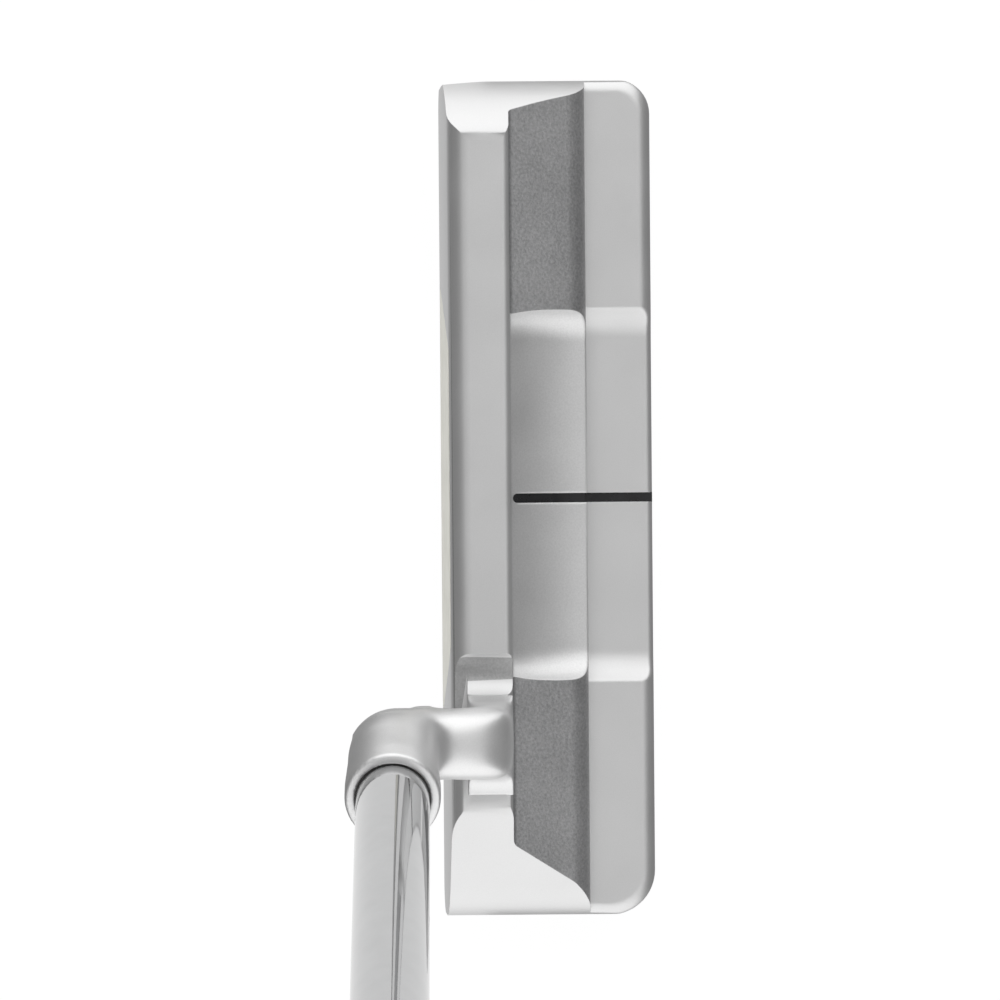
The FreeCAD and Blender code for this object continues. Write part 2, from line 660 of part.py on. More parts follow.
def main():
    weights = weight_places()
    nodes = {
        "head_body": make_head_body(),
        "neck": make_neck(),
        "face_insert": make_face_insert(),
        "insert_adhesive": make_insert_adhesive(),
        "sightline_paint": make_sightline_paint(),
        "toe_weight": make_weight(weights["toe"]),
        "heel_weight": make_weight(weights["heel"]),
        "toe_weight_gasket": make_gasket(weights["toe"]),
        "heel_weight_gasket": make_gasket(weights["heel"]),
        "shaft": make_shaft(),
        "shaft_epoxy": make_shaft_epoxy(),
        "tip_plug": make_tip_plug(),
        "shaft_label": make_shaft_label(),
        "grip_tape": make_grip_tape(),
        "grip": make_grip(),
        "grip_cap": make_grip_cap(),
    }
    os.makedirs("parts", exist_ok=True)
    for name, shape in nodes.items():
        shape.exportStep(os.path.join("parts", name + ".step"))
        print(name, "solids", len(shape.Solids), "valid", shape.isValid(), "volume", round(shape.Volume, 1))


main()
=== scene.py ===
# %% [markdown]
# # A blade putter on a light table
# The club arrives as a finished metal part. This script dresses it: it gives each piece a surface that
# looks like the real material, adds the studio round it and sets the camera. Everything is in metres, in
# the club's own frame: +Z is up, the face looks to -Y, the toe is at -X and the golfer stands at +X.

# %% Load the club and note its box
import json
import math

import bmesh
import bpy
from mathutils import Matrix, Vector


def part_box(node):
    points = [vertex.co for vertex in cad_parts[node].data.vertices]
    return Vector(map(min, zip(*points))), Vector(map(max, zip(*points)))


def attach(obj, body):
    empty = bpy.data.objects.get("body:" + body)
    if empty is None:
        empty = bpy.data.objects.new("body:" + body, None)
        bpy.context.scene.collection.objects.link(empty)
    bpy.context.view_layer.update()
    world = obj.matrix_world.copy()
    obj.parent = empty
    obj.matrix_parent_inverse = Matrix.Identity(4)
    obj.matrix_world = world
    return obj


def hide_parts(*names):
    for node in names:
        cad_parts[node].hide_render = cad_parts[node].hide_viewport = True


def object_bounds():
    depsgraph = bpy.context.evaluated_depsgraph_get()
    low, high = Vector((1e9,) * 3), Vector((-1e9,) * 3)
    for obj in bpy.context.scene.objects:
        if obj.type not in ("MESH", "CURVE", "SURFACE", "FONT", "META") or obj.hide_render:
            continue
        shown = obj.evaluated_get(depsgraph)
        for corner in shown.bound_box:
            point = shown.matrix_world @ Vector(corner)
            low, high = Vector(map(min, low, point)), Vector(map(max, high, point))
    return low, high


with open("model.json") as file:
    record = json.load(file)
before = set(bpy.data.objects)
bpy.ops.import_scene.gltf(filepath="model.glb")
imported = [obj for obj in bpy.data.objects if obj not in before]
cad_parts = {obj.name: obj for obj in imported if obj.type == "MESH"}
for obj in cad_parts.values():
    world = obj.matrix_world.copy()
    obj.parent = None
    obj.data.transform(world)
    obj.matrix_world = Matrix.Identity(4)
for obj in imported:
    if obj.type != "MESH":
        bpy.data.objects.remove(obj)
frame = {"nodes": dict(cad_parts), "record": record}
cad_low, cad_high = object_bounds()
print("club box, mm:", [round(1000 * side) for side in cad_high - cad_low])

# %% [markdown]
# The shaft leans towards the golfer. The record's grip mount lies on the shaft's axis and points along it,
# so the axis is read from there and isn't typed in a second time.

# %% Read the shaft's axis and the head's box
MM = 0.001
grip_mount = next(mount for mount in frame["record"]["mounts"] if mount["name"] == "grip")
shaft_axis = Vector(grip_mount["axis"]).normalized()
shaft_point = Vector(grip_mount["pos_m"])
head_low, head_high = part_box("head_body")
print("lie, degrees:", round(math.degrees(math.asin(shaft_axis.z)), 1))
print("head, mm:", [round(1000 * side, 1) for side in head_high - head_low])

# %% [markdown]
# ## Merged copies
# A part from CAD comes as loose triangles: every triangle has corners of its own, so light breaks at each
# one. A copy with its corners merged can be shaded as one skin. Edges that turn sharply stay crisp, and
# the Weighted Normal modifier makes the large flat faces win over the narrow rounds beside them, so flats
# look flat right up to the round.

# %% A helper that makes the copies
MERGE_DISTANCE = 0.002 * MM
CRISP_ANGLE = math.radians(28)


def merged_copy(node, name):
    """Smoothly shaded copy of a CAD node; it rides on the club and stands for the node."""
    mesh = frame["nodes"][node].data.copy()
    shell = bmesh.new()
    shell.from_mesh(mesh)
    bmesh.ops.remove_doubles(shell, verts=shell.verts, dist=MERGE_DISTANCE)
    bmesh.ops.dissolve_degenerate(shell, edges=shell.edges, dist=MERGE_DISTANCE / 4)
    for face in shell.faces:
        face.smooth = True
    for edge in shell.edges:
        edge.smooth = edge.calc_face_angle(math.pi) < CRISP_ANGLE
    shell.to_mesh(mesh)
    shell.free()
    mesh.materials.clear()
    mesh.name = name
    piece = bpy.data.objects.new(name, mesh)
    bpy.context.scene.collection.objects.link(piece)
    weighted = piece.modifiers.new("flats win", "WEIGHTED_NORMAL")
    weighted.keep_sharp = True
    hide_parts(node)
    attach(piece, "root")
    print(name, "faces", len(mesh.polygons))
    return piece


# %% [markdown]
# ## Surfaces
# Real surfaces are never one even colour. Each finish below starts from the same three ideas, at sizes
# that suit the material: slow blotches that shift colour and gloss a little, a fine grain that tilts the
# surface, and edges that are very slightly broken so that they catch a thin line of light.

# %% Helpers that wire up a finish
EDGE_BREAK = 0.11 * MM
EDGE_SAMPLES = 6


def add_node(tree, kind, inputs=None, **settings):
    """New node with its settings and inputs; an input may be a value or another node's output."""
    made = tree.nodes.new(kind)
    for key, value in settings.items():
        setattr(made, key, value)
    for key, value in (inputs or {}).items():
        if isinstance(value, bpy.types.NodeSocket):
            tree.links.new(value, made.inputs[key])
        else:
            made.inputs[key].default_value = value
    return made


def start_finish(name):
    """Material with one Principled shader. Returns the material, its node tree and the shader."""
    finish = bpy.data.materials.new(name)
    finish.use_nodes = True
    return finish, finish.node_tree, finish.node_tree.nodes["Principled BSDF"]


def place_on_piece(tree, stretch=(1, 1, 1), turn=(0, 0, 0), centre=(0, 0, 0)):
    """Object coordinates, centred, turned and stretched for a pattern."""
    where = add_node(tree, "ShaderNodeTexCoord").outputs["Object"]
    settings = {"Vector": where, "Scale": stretch, "Rotation": turn, "Location": centre}
    return add_node(tree, "ShaderNodeMapping", settings).outputs["Vector"]


def noise(tree, where, size, detail=2.0, rough=0.5):
    """Cloudy pattern whose lumps are about size metres across."""
    settings = {"Vector": where, "Scale": 1 / size, "Detail": detail, "Roughness": rough}
    return add_node(tree, "ShaderNodeTexNoise", settings).outputs["Fac"]


def spread(tree, pattern, low, high, start=0.3, end=0.7):
    """Pattern stretched so that start gives low and end gives high."""
    settings = {"Value": pattern, "From Min": start, "From Max": end, "To Min": low, "To Max": high}
    return add_node(tree, "ShaderNodeMapRange", settings).outputs["Result"]


def blend_tones(tree, pattern, dark, light):
    """Colour between two tones, by a pattern."""
    mix = add_node(tree, "ShaderNodeMix", {"Factor": pattern}, data_type="RGBA")
    mix.inputs[6].default_value = (*dark, 1)
    mix.inputs[7].default_value = (*light, 1)
    return mix.outputs[2]


def broken_edges(tree, radius=EDGE_BREAK):
    """Surface direction that turns smoothly over sharp edges."""
    return add_node(tree, "ShaderNodeBevel", {"Radius": radius}, samples=EDGE_SAMPLES).outputs["Normal"]


def relief(tree, shader, height, depth, under=None):
    """Tilts the surface by a height pattern that is depth metres deep; returns the direction."""
    settings = {"Height": height, "Distance": depth}
    if under is not None:
        settings["Normal"] = under
    bumped = add_node(tree, "ShaderNodeBump", settings).outputs["Normal"]
    tree.links.new(bumped, shader.inputs["Normal"])
    return bumped


# %% [markdown]
# ## Head steel
# The head is machined from one piece of stainless steel. The outside is rubbed to an even satin. The two
# shoulders behind the topline are blasted with coarse grit, which leaves them darker and visibly grainy,
# and the recess between them is only lightly blasted. The channel beside the neck's root is given a duller
# steel whose darker tone is painted shade, where the post and the arm hang over it. One recipe makes all
# four.

# %% A recipe for bare steel
GRAIN_SHARE = 0.8


def blend_patterns(tree, first, second, share):
    """Mix of two patterns; share is the second one's part."""
    settings = {"Factor": share, "A": first, "B": second}
    return add_node(tree, "ShaderNodeMix", settings, data_type="FLOAT").outputs[0]


def steel(name, dark, light, gloss, grain_size, grain_depth, blotch_size, edge_break=EDGE_BREAK):
    """Bare stainless steel: gloss is a (smoothest, roughest) pair."""
    finish, tree, shader = start_finish(name)
    where = place_on_piece(tree)
    blotches = noise(tree, where, blotch_size, detail=4)
    grain = noise(tree, where, grain_size, detail=3, rough=0.65)
    mottle = blend_patterns(tree, blotches, grain, GRAIN_SHARE)
    tone = blend_tones(tree, spread(tree, mottle, 0, 1), dark, light)
    tree.links.new(tone, shader.inputs["Base Color"])
    tree.links.new(spread(tree, blotches, *gloss), shader.inputs["Roughness"])
    shader.inputs["Metallic"].default_value = 1.0
    relief(tree, shader, grain, grain_depth, broken_edges(tree, edge_break))
    return finish


# %% [markdown]
# The four steels differ in tone, gloss and grain. The recess also has wider broken edges, because its
# rear edge is softened where it drops to the flange.

# %% Four steels for the head
satin_steel = steel("satin_steel", (0.68, 0.68, 0.68), (0.72, 0.72, 0.72), (0.42, 0.48),
                    grain_size=0.16 * MM, grain_depth=0.0022 * MM, blotch_size=9 * MM)
floor_steel = steel("cavity_floor_steel", (0.70, 0.70, 0.70), (0.80, 0.80, 0.80), (0.44, 0.50),
                    grain_size=0.24 * MM, grain_depth=0.012 * MM, blotch_size=9 * MM, edge_break=0.5 * MM)
blasted_steel = steel("blasted_steel", (0.33, 0.33, 0.335), (0.56, 0.56, 0.565), (0.46, 0.54),
                      grain_size=0.36 * MM, grain_depth=0.045 * MM, blotch_size=9 * MM, edge_break=0.2 * MM)
# The root channel's steel is darker than the satin: that tone is painted shade, under the neck's post and
# arm.
root_shade_steel = steel("root_shade_steel", (0.38, 0.38, 0.38), (0.50, 0.50, 0.50), (0.48, 0.56),
                   grain_size=0.3 * MM, grain_depth=0.02 * MM, blotch_size=4 * MM)
print("steels ready:", satin_steel.name, floor_steel.name, blasted_steel.name, root_shade_steel.name)

# %% [markdown]
# The head's copy carries all four steels, and each face is given one by where it lies and where it looks.
# Between the back of the topline and the step down to the flange, a face in the recess is lightly blasted
# and a face outside it that looks backwards is fully blasted. A nearly level face below the topline, in
# front of that and on the heel half, belongs to the channel beside the root and takes its painted shade. The
# rest is satin.

# %% Dress the head
TOPLINE_BACK = -4.83 * MM
STEP_BACK = 5.36 * MM
CAVITY_FLOOR = 14.0 * MM
RECESS_HALF = 25.2 * MM
RECESS_CENTRE = -0.4 * MM
SLACK = 0.05 * MM
LOOKS_BACK = 0.12
LOOKS_UP = 0.02
NEARLY_LEVEL = 0.5
ROOT_END = 27.5 * MM
ROOT_DEPTH = 0.45 * MM
RISES_TO_POST = -0.2

head = merged_copy("head_body", "head")
for finish in (satin_steel, floor_steel, blasted_steel, root_shade_steel):
    head.data.materials.append(finish)
SATIN, FLOOR, BLASTED, ROOT_SHADE = range(4)


def finish_of(face):
    """Which of the four steels a face of the head has."""
    middle = face.center
    beside_root = 0 < middle.x < ROOT_END and middle.y < TOPLINE_BACK
    level = face.normal.z > NEARLY_LEVEL and face.normal.x > RISES_TO_POST
    # Level faces in the channel beside the root get the darker steel, which is painted shade.
    if beside_root and level and CAVITY_FLOOR < middle.z < head_high.z - ROOT_DEPTH:
        return ROOT_SHADE
    behind_topline = TOPLINE_BACK - SLACK < middle.y < STEP_BACK - SLACK and middle.z > CAVITY_FLOOR
    if not behind_topline or face.normal.z < LOOKS_UP:
        return SATIN
    if abs(middle.x - RECESS_CENTRE) < RECESS_HALF:
        return FLOOR
    return BLASTED if face.normal.y > LOOKS_BACK else SATIN


for face in head.data.polygons:
    face.material_index = finish_of(face)
print("blasted faces:", sum(face.material_index == BLASTED for face in head.data.polygons))

# %% [markdown]
# ## Neck
# The neck is welded on and then blended by hand with a belt, so nothing on it is sharp: the arm flows out
# of the hosel and into the post. A voxel remesh turns the copy into an even net, and repeated smoothing of
# that net rounds its corners the way the belt does. Each stage starts higher above the root and stops
# farther from the rim, so the arm is rounded most. The bore stays where it is. The foot, where the neck
# meets the topline, is first sunk a little into the head, which hides the seam.

# %% Blend the neck
NECK_NET = 0.22 * MM
BELT_STAGES = 8
STAGE_PASSES = 48
LIGHT_PASSES = 4
RIM_BAND = 7.0 * MM
ROOT_BAND = 1.0 * MM
STAGE_STEP = 0.8 * MM
BORE_KEEP = 5.3 * MM
ABOVE_HEAD = 0.3 * MM
SMOOTH_SHARE = 0.5
FOOT_SINK = 0.3 * MM
FOOT_SLACK = 0.01 * MM


def off_axis(point):
    """Distance of a point from the shaft's axis."""
    return (point - shaft_point).cross(shaft_axis).length


def sink_foot(piece):
    """Lowers the edge where the neck meets the topline, so that its rounding is hidden in the head."""
    for corner in piece.data.vertices:
        if abs(corner.co.z - head_high.z) < FOOT_SLACK:
            corner.co.z -= FOOT_SINK


def even_net(piece, size):
    """Replaces a piece's mesh by a voxel remesh of it."""
    remesh = piece.modifiers.new("even net", "REMESH")
    remesh.mode = "VOXEL"
    remesh.voxel_size = size
    seen = piece.evaluated_get(bpy.context.evaluated_depsgraph_get())
    net = bpy.data.meshes.new_from_object(seen)
    piece.modifiers.clear()
    net.name = piece.name
    piece.data = net


def smooth_net(net, corners, passes):
    """Moves corners towards the middle of their neighbours, several times over."""
    for turn in range(passes):
        bmesh.ops.smooth_vert(net, verts=corners, factor=SMOOTH_SHARE,
                              use_axis_x=True, use_axis_y=True, use_axis_z=True)


def belt_sand(piece):
    """Rounds the neck between its root and its rim."""
    net = bmesh.new()
    net.from_mesh(piece.data)
    rim = max((corner.co - shaft_point).dot(shaft_axis) for corner in net.verts)
    outside = [corner for corner in net.verts
               if corner.co.z > head_high.z + ABOVE_HEAD and off_axis(corner.co) > BORE_KEEP]
    for stage in range(BELT_STAGES):
        lowest = head_high.z + ROOT_BAND + stage * STAGE_STEP
        farthest = rim - RIM_BAND + (BELT_STAGES / 2 - stage) * STAGE_STEP
        open_to_belt = [corner for corner in outside if corner.co.z > lowest
                        and (corner.co - shaft_point).dot(shaft_axis) < farthest]
        smooth_net(net, open_to_belt, STAGE_PASSES)
    smooth_net(net, outside, LIGHT_PASSES)
    for face in net.faces:
        face.smooth = True
    net.to_mesh(piece.data)
    net.free()


neck_steel = steel("neck_steel", (0.75, 0.75, 0.75), (0.81, 0.81, 0.81), (0.42, 0.50),
                   grain_size=0.22 * MM, grain_depth=0.005 * MM, blotch_size=6 * MM)
neck = merged_copy("neck", "neck_and_hosel")
sink_foot(neck)
even_net(neck, NECK_NET)
belt_sand(neck)
neck.data.materials.append(neck_steel)
print("neck faces:", len(neck.data.polygons))

# %% [markdown]
# ## Face insert
# The insert is a slab of pale cast polymer. Its face is milled flat with straight passes, which show as
# very shallow ridges along the face. A wave texture makes them. It fits twenty radians of its wave into
# one unit at a scale of 1, so a helper turns the distance between two ridges into a scale.

# %% Dress the insert
WAVE_RADIANS = 20
MILL_PITCH = 3.4558 * MM
MILL_DEPTH = 0.012 * MM


def wave_scale(pitch):
    """Scale of a wave texture whose crests lie pitch metres apart."""
    return 2 * math.pi / (WAVE_RADIANS * pitch)


def milled_polymer():
    """Cream polymer with shallow ridges one milling pass apart."""
    finish, tree, shader = start_finish("milled_polymer")
    where = place_on_piece(tree)
    mottle = noise(tree, where, 2.5 * MM, detail=5)
    tone = blend_tones(tree, spread(tree, mottle, 0, 1), (0.84, 0.83, 0.755), (0.90, 0.89, 0.825))
    tree.links.new(tone, shader.inputs["Base Color"])
    tree.links.new(spread(tree, mottle, 0.5, 0.62), shader.inputs["Roughness"])
    settings = {"Vector": where, "Scale": wave_scale(MILL_PITCH), "Distortion": 0.1}
    ridges = add_node(tree, "ShaderNodeTexWave", settings, bands_direction="Z").outputs["Fac"]
    relief(tree, shader, ridges, MILL_DEPTH, broken_edges(tree))
    return finish


insert = merged_copy("face_insert", "insert")
insert.data.materials.append(milled_polymer())

# %% [markdown]
# ## Plain coatings and soft pieces
# Paint, glue, tape, plastic and rubber share one recipe: two close tones, a gloss that drifts and a grain.
# Most of these pieces are hidden once the club is put together, yet each has its own finish.

# %% A recipe for coatings


def coating(name, dark, light, gloss, grain_size, grain_depth, blotch_size=3 * MM):
    """Paint, glue, paper, plastic or rubber."""
    finish, tree, shader = start_finish(name)
    where = place_on_piece(tree)
    blotches = noise(tree, where, blotch_size, detail=4)
    tree.links.new(blend_tones(tree, spread(tree, blotches, 0, 1), dark, light), shader.inputs["Base Color"])
    tree.links.new(spread(tree, blotches, *gloss), shader.inputs["Roughness"])
    relief(tree, shader, noise(tree, where, grain_size), grain_depth)
    return finish


def dress(node, name, finish):
    """Merged copy of a node in one finish."""
    piece = merged_copy(node, name)
    piece.data.materials.append(finish)
    return piece


cured_glue = coating("cured_glue", (0.020, 0.019, 0.018), (0.035, 0.033, 0.031), (0.3, 0.45), 0.4 * MM,
                     0.01 * MM)
moulded_plastic = coating("moulded_plastic", (0.05, 0.05, 0.055), (0.08, 0.08, 0.085), (0.4, 0.5), 0.2 * MM,
                          0.004 * MM)
paper_tape = coating("paper_tape", (0.62, 0.60, 0.53), (0.74, 0.72, 0.66), (0.7, 0.85), 0.25 * MM, 0.02 * MM)
washer_rubber = coating("washer_rubber", (0.02, 0.02, 0.02), (0.035, 0.035, 0.036), (0.55, 0.7), 0.2 * MM,
                        0.01 * MM)
dress("insert_adhesive", "insert_glue", cured_glue)
dress("shaft_epoxy", "hosel_glue", cured_glue)
dress("tip_plug", "shaft_tip_plug", moulded_plastic)
dress("grip_tape", "tape_layer", paper_tape)
dress("toe_weight_gasket", "toe_washer", washer_rubber)
dress("heel_weight_gasket", "heel_washer", washer_rubber)

# %% [markdown]
# ## Sightline
# Black enamel lies in the bottom of the milled groove. It levels out as it dries, so it is smoother than
# the steel and reflects the room softly.

# %% Dress the sightline
enamel = coating("black_enamel", (0.008, 0.008, 0.009), (0.016, 0.016, 0.018), (0.22, 0.34), 0.5 * MM,
                 0.012 * MM)
dress("sightline_paint", "sightline", enamel)

# %% [markdown]
# ## Sole weights
# The weights are turned on a lathe, which leaves shallow rings round their middles. A wave texture makes
# rings about the Z axis, and the Mapping node centres them on each weight.

# %% Dress the sole weights
TURNING_PITCH = 1.131 * MM
TURNING_DEPTH = 0.004 * MM


def turned_steel(name, node):
    """Polished steel with lathe rings round the middle of a node."""
    low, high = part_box(node)
    middle = (low + high) / 2
    finish, tree, shader = start_finish(name)
    rings_at = place_on_piece(tree, centre=(-middle.x, -middle.y, 0))
    settings = {"Vector": rings_at, "Scale": wave_scale(TURNING_PITCH)}
    wave = add_node(tree, "ShaderNodeTexWave", settings, wave_type="RINGS", rings_direction="Z")
    rings = wave.outputs["Fac"]
    smudges = noise(tree, rings_at, 2 * MM, detail=3)
    tone = blend_tones(tree, spread(tree, smudges, 0, 1), (0.50, 0.50, 0.51), (0.60, 0.60, 0.61))
    tree.links.new(tone, shader.inputs["Base Color"])
    tree.links.new(spread(tree, smudges, 0.16, 0.26), shader.inputs["Roughness"])
    shader.inputs["Metallic"].default_value = 1.0
    relief(tree, shader, rings, TURNING_DEPTH, broken_edges(tree))
    return finish


for end in ("toe", "heel"):
    node = end + "_weight"
    dress(node, end + "_sole_weight", turned_steel("turned_steel_" + end, node))

# %% [markdown]
# ## Shaft
# Chromium plate reflects a little over half of the light that falls on it, evenly in all colours. The
# plate is a mirror, so the shaft shows the room. Only a faint waviness from polishing and some very fine
# hazing keep it from looking drawn.

# %% Dress the shaft


def chrome():
    """Mirror chromium plate with a faint polishing waviness along the shaft."""
    finish, tree, shader = start_finish("chrome")
    where = place_on_piece(tree)
    haze = noise(tree, where, 3 * MM, detail=5)
    tone = blend_tones(tree, spread(tree, haze, 0, 1), (0.535, 0.537, 0.54), (0.56, 0.562, 0.565))
    tree.links.new(tone, shader.inputs["Base Color"])
    tree.links.new(spread(tree, haze, 0.035, 0.075), shader.inputs["Roughness"])
    shader.inputs["Metallic"].default_value = 1.0
    relief(tree, shader, noise(tree, where, 7 * MM, detail=1), 0.006 * MM)
    return finish


dress("shaft", "chrome_shaft", chrome())

# %% [markdown]
# ## Shaft band
# The band below the grip is a strip of dark foil with nothing printed on it but two pale rules near its
# ends. The rules are painted by distance along the shaft.

# %% Dress the band
RULE_WIDTH = 1.2 * MM
RULE_INSET = 2.6 * MM


def distance_along_shaft(tree):
    """Distance from the grip mount along the shaft's axis, in metres."""
    where = add_node(tree, "ShaderNodeTexCoord").outputs["Object"]
    offset = add_node(tree, "ShaderNodeVectorMath", operation="SUBTRACT")
    tree.links.new(where, offset.inputs[0])
    offset.inputs[1].default_value = shaft_point
    along = add_node(tree, "ShaderNodeVectorMath", operation="DOT_PRODUCT")
    tree.links.new(offset.outputs["Vector"], along.inputs[0])
    along.inputs[1].default_value = shaft_axis
    return along.outputs["Value"]


def reach_along_shaft(node):
    """Lowest and highest distance of a node along the shaft's axis."""
    places = [(vertex.co - shaft_point).dot(shaft_axis) for vertex in frame["nodes"][node].data.vertices]
    return min(places), max(places)


def ruled_foil():
    """Dark gloss foil with a pale rule near each end."""
    finish, tree, shader = start_finish("ruled_foil")
    bottom, top = reach_along_shaft("shaft_label")
    along = distance_along_shaft(tree)
    middle = (bottom + top) / 2
    rule_at = (top - bottom) / 2 - RULE_INSET
    from_middle = add_node(tree, "ShaderNodeMath", {0: along, 1: middle}, operation="SUBTRACT").outputs[0]
    from_middle = add_node(tree, "ShaderNodeMath", {0: from_middle}, operation="ABSOLUTE").outputs[0]
    in_rule = {0: from_middle, 1: rule_at, 2: RULE_WIDTH / 2}
    rules = add_node(tree, "ShaderNodeMath", in_rule, operation="COMPARE").outputs[0]
    mottle = noise(tree, place_on_piece(tree), 4 * MM)
    ground = blend_tones(tree, mottle, (0.05, 0.05, 0.056), (0.08, 0.08, 0.09))
    mix = add_node(tree, "ShaderNodeMix", {"Factor": rules}, data_type="RGBA")
    tree.links.new(ground, mix.inputs[6])
    mix.inputs[7].default_value = (0.62, 0.62, 0.63, 1)
    tree.links.new(mix.outputs[2], shader.inputs["Base Color"])
    haze = noise(tree, place_on_piece(tree), 2 * MM)
    tree.links.new(spread(tree, haze, 0.16, 0.28), shader.inputs["Roughness"])
    shader.inputs["Metallic"].default_value = 0.6
    return finish


dress("shaft_label", "shaft_band", ruled_foil())

# %% [markdown]
# ## Grip
# The grip is one rubber moulding, flat in front for the thumbs. The rings near its mouth and its butt are
# real grooves: planes cut the merged skin into narrow bands, and the middle line of each groove is pulled
# towards the shaft's axis. Between the rings, the rubber has a field of large, very shallow diamonds.

# %% Cut the grip's rings
RING_WIDTH = 1.5 * MM
RING_DEPTH = 0.55 * MM
RING_SPACING = 4.0 * MM
MOUTH_RINGS = 4
BUTT_RINGS = 3
FIRST_RING = 7.0 * MM
CUT_TOLERANCE = 0.0001 * MM


def slice_skin(shell, distance):
    """Adds a line of edges round the skin, square to the shaft, and returns its corners."""
    everything = shell.verts[:] + shell.edges[:] + shell.faces[:]
    cut_at = shaft_point + shaft_axis * distance
    cut = bmesh.ops.bisect_plane(shell, geom=everything, dist=CUT_TOLERANCE, plane_co=cut_at,
                                 plane_no=shaft_axis)
    return [part for part in cut["geom_cut"] if isinstance(part, bmesh.types.BMVert)]


def press_ring(shell, distance):
    """Presses one shallow groove into the outside of the skin."""
    for side in (-1, 1):
        slice_skin(shell, distance + side * RING_WIDTH / 2)
    for corner in slice_skin(shell, distance):
        spoke = corner.co - (shaft_point + shaft_axis * (corner.co - shaft_point).dot(shaft_axis))
        if spoke.length > tape_radius + RING_DEPTH:
            corner.co -= spoke.normalized() * RING_DEPTH


grip = merged_copy("grip", "grip_skin")
tape_low, tape_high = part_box("grip_tape")
tape_radius = (tape_high.y - tape_low.y) / 2
grip_bottom, grip_top = reach_along_shaft("grip")
rings = [grip_bottom + FIRST_RING + RING_SPACING * ring for ring in range(MOUTH_RINGS)]
rings += [grip_top - FIRST_RING - RING_SPACING * ring for ring in range(BUTT_RINGS)]
skin = bmesh.new()
skin.from_mesh(grip.data)
for ring in rings:
    press_ring(skin, ring)
bmesh.ops.triangulate(skin, faces=skin.faces)
skin.to_mesh(grip.data)
skin.free()
print("grip rings:", len(rings), "faces:", len(grip.data.polygons))

# %% [markdown]
# The diamonds are two sets of slanted waves that cross. They are wider than the grip, so they show as a
# slow rise and fall of the rubber. They stop short of the rings.

# %% Dress the grip
DIAMOND_PITCH = 20.106 * MM
DIAMOND_SLANT = math.radians(32)
DIAMOND_DEPTH = 0.22 * MM
FIELD_MARGIN = 26 * MM
FIELD_FADE = 2 * MM


def slanted_waves(tree, slant):
    """Even waves that climb round the shaft at a slant."""
    lean = math.atan2(shaft_axis.x, shaft_axis.z)
    upright = place_on_piece(tree, turn=(0, -lean, 0))
    tilt = {"Vector": upright, "Rotation": (slant, 0, 0)}
    tilted = add_node(tree, "ShaderNodeMapping", tilt).outputs["Vector"]
    settings = {"Vector": tilted, "Scale": wave_scale(DIAMOND_PITCH)}
    return add_node(tree, "ShaderNodeTexWave", settings, bands_direction="Z").outputs["Fac"]


def diamond_rubber():
    """Black rubber with a field of raised diamonds between the grip's rings."""
    finish, tree, shader = start_finish("diamond_rubber")
    where = place_on_piece(tree)
    bloom = noise(tree, where, 14 * MM, detail=5)
    tone = blend_tones(tree, spread(tree, bloom, 0, 1), (0.018, 0.018, 0.019), (0.034, 0.034, 0.035))
    tree.links.new(tone, shader.inputs["Base Color"])
    tree.links.new(spread(tree, bloom, 0.52, 0.68), shader.inputs["Roughness"])
    crossing = {0: slanted_waves(tree, DIAMOND_SLANT), 1: slanted_waves(tree, -DIAMOND_SLANT)}
    diamonds = add_node(tree, "ShaderNodeMath", crossing, operation="MULTIPLY").outputs[0]
    middle = (grip_bottom + grip_top) / 2
    away = add_node(tree, "ShaderNodeMath", {0: distance_along_shaft(tree), 1: middle}, operation="SUBTRACT")
    away = add_node(tree, "ShaderNodeMath", {0: away.outputs[0]}, operation="ABSOLUTE").outputs[0]
    half_field = (grip_top - grip_bottom) / 2 - FIELD_MARGIN
    field = spread(tree, away, 1, 0, half_field, half_field + FIELD_FADE)
    diamonds = add_node(tree, "ShaderNodeMath", {0: diamonds, 1: field}, operation="MULTIPLY").outputs[0]
    pebbles = relief(tree, shader, noise(tree, where, 0.35 * MM), 0.02 * MM)
    relief(tree, shader, diamonds, DIAMOND_DEPTH, pebbles)
    return finish


grip.data.materials.append(diamond_rubber())
cap_rubber = coating("cap_rubber", (0.02, 0.02, 0.021), (0.038, 0.038, 0.039), (0.45, 0.6), 0.3 * MM,
                     0.012 * MM, blotch_size=8 * MM)
dress("grip_cap", "butt_cap", cap_rubber)

# %% [markdown]
# ## Studio
# The club stands on a light table: a pale floor that glows, so it stays white right up to the metal. The
# floor doesn't show in reflections and casts no shadow. The steel then reflects only the panels and the
# grey room, and its rounded edges stay darker than its flats.

# %% Build the floor
FLOOR_HALF = 9.0
FLOOR_DROP = 0.05 * MM
FLOOR_GLOW = 0.93
FLOOR_MOTTLE = 0.4
floor_height = cad_low.z - FLOOR_DROP


def pale_floor():
    """Large level sheet with a faint mottle, which glows."""
    sheet = bmesh.new()
    bmesh.ops.create_grid(sheet, x_segments=8, y_segments=8, size=FLOOR_HALF)
    bmesh.ops.translate(sheet, verts=sheet.verts, vec=(0, 0, floor_height))
    mesh = bpy.data.meshes.new("floor")
    sheet.to_mesh(mesh)
    sheet.free()
    floor = bpy.data.objects.new("floor", mesh)
    bpy.context.scene.collection.objects.link(floor)
    finish, tree, shader = start_finish("light_table")
    mottle = noise(tree, place_on_piece(tree), FLOOR_MOTTLE)
    tone = blend_tones(tree, mottle, (0.11, 0.11, 0.11), (0.12, 0.12, 0.12))
    tree.links.new(tone, shader.inputs["Base Color"])
    shader.inputs["Roughness"].default_value = 0.9
    shader.inputs["Specular IOR Level"].default_value = 0.0
    shader.inputs["Emission Color"].default_value = (1, 1, 1, 1)
    shader.inputs["Emission Strength"].default_value = FLOOR_GLOW
    mesh.materials.append(finish)
    floor.visible_glossy = False
    floor.visible_shadow = False
    return floor


print("floor height, mm:", round(1000 * pale_floor().data.vertices[0].co.z, 2))

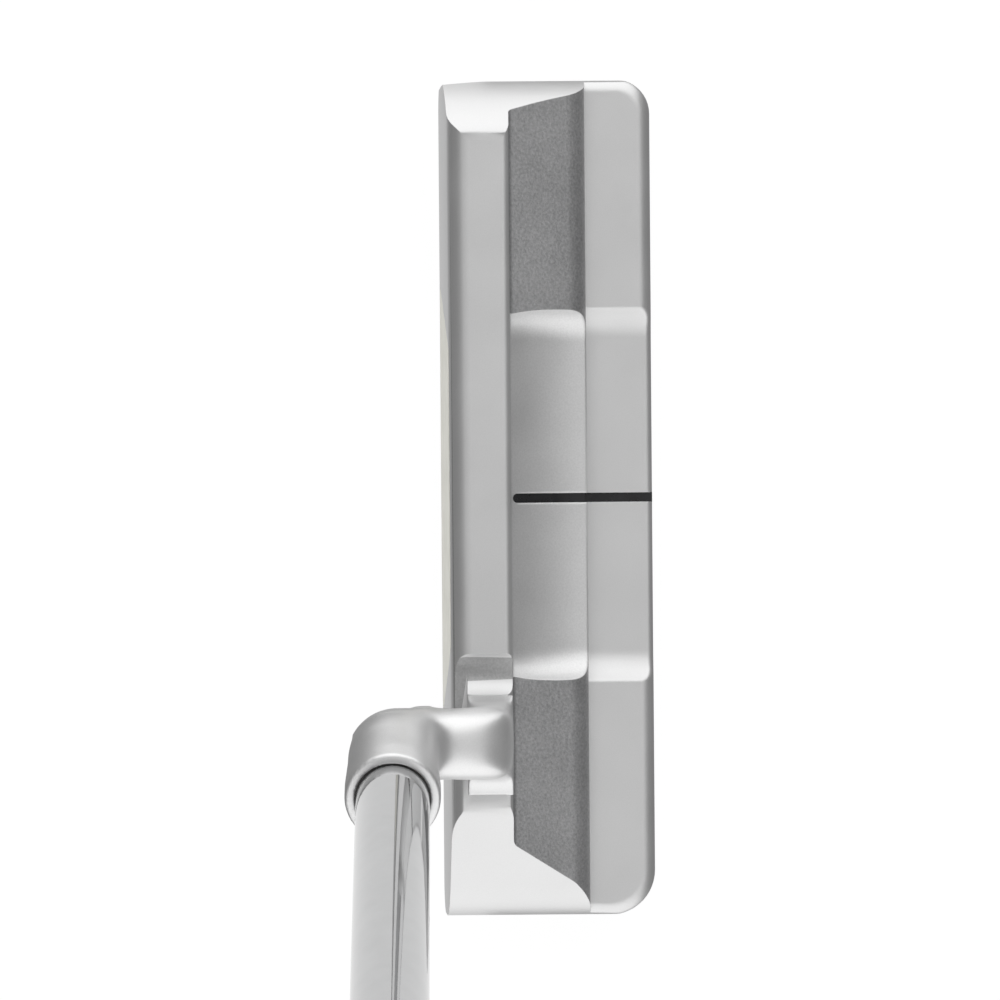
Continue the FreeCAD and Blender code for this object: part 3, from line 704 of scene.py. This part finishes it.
# %% [markdown]
# Metal has hardly any colour of its own and shows what is round it, so the sizes and places of the panels
# matter more than anything in the steel's material. Two tall soft boxes stand beyond the toe and beyond
# the heel, and a dimmer one hangs overhead. The tall ones reach below the floor, which doesn't block them,
# and so do the work of the bright table that the steep slopes at the ends would reflect.

# %% Place the soft boxes
AIM_HEIGHT = 0.02
SIDE_BOX_PLACE = Vector((1.35, 0.12, 0.35))
SIDE_BOX_WIDTH = 2.4
SIDE_BOX_HEIGHT = 4.2
TOE_BRIGHTNESS = 1.19
HEEL_BRIGHTNESS = 0.99


def soft_box(name, place, width, height, brightness):
    """Rectangular soft light that looks at the head. Brightness is how bright its face looks."""
    panel = bpy.data.lights.new(name, "AREA")
    panel.shape = "RECTANGLE"
    panel.size = width
    panel.size_y = height
    panel.energy = brightness * math.pi * width * height
    light = bpy.data.objects.new(name, panel)
    light.location = place
    light.rotation_euler = (Vector((0, 0, AIM_HEIGHT)) - Vector(place)).to_track_quat("-Z", "Y").to_euler()
    light.visible_camera = False
    bpy.context.scene.collection.objects.link(light)
    return light


toe_side = SIDE_BOX_PLACE * Vector((-1, 1, 1))
soft_box("toe_box", toe_side, SIDE_BOX_WIDTH, SIDE_BOX_HEIGHT, TOE_BRIGHTNESS)
soft_box("heel_box", SIDE_BOX_PLACE, SIDE_BOX_WIDTH, SIDE_BOX_HEIGHT, HEEL_BRIGHTNESS)
soft_box("overhead_box", (0, 0, 1.7), 1.5, 3.0, 0.28)

# %% [markdown]
# Two low cards stand in for the light that the table would throw upwards. They lie on the floor and look
# up. One lights only the shaft and the other only the front of the head.

# %% Place the cards


def low_card(name, place, width, depth, brightness, piece_name):
    """Upward panel on the floor that lights one piece only."""
    card = soft_box(name, (*place, floor_height), width, depth, brightness)
    card.rotation_euler = (math.pi, 0, 0)
    lit = bpy.data.collections.new("lit_by_" + name)
    lit.objects.link(bpy.data.objects[piece_name])
    card.light_linking.receiver_collection = lit
    print(name, "lights only", piece_name)


low_card("front_card", (0, -0.023), 0.14, 0.03, 0.42, "head")
low_card("shaft_card", (0.05, -0.02), 0.9, 0.9, 0.68, "chrome_shaft")

# %% [markdown]
# The room itself is an even grey. The Standard view shows the tones as they are, without a film curve.

# %% Set the room
ROOM_GREY = 0.25

room = bpy.data.worlds.new("grey_room")
room.use_nodes = True
room.node_tree.nodes["Background"].inputs["Color"].default_value = (ROOM_GREY, ROOM_GREY, ROOM_GREY, 1)
bpy.context.scene.world = room
bpy.context.scene.view_settings.view_transform = "Standard"
print("room grey:", ROOM_GREY)

# %% [markdown]
# ## Camera
# The camera looks straight down at the head from arm's length, with a long lens, so the club's toe is at
# the top of the frame and its back is to the right.

# %% Set the camera
CAMERA_PLACE = Vector((-5.04 * MM, -12.44 * MM, 0.900))
CAMERA_AIM = Vector((0.33 * MM, -6.16 * MM, 0))
CAMERA_LENS = 239.38
CAMERA_ROLL = math.radians(-0.456)

forward = (CAMERA_AIM - CAMERA_PLACE).normalized()
to_right = (Vector((0, 1, 0)) - forward * forward.y).normalized()
to_top = to_right.cross(forward)
turned = Matrix((to_right, to_top, -forward)).transposed().to_4x4()
lens = bpy.data.cameras.new("camera")
lens.lens = CAMERA_LENS
lens.clip_start = 0.01
camera = bpy.data.objects.new("camera", lens)
camera.matrix_world = Matrix.Translation(CAMERA_PLACE) @ turned @ Matrix.Rotation(CAMERA_ROLL, 4, "Z")
bpy.context.scene.collection.objects.link(camera)
bpy.context.scene.camera = camera
print("camera height, mm:", round(1000 * camera.location.z))

# %% [markdown]
# ## Sizes
# The dressed club must be as large as the CAD club.

# %% Update the scene
bpy.context.view_layer.update()
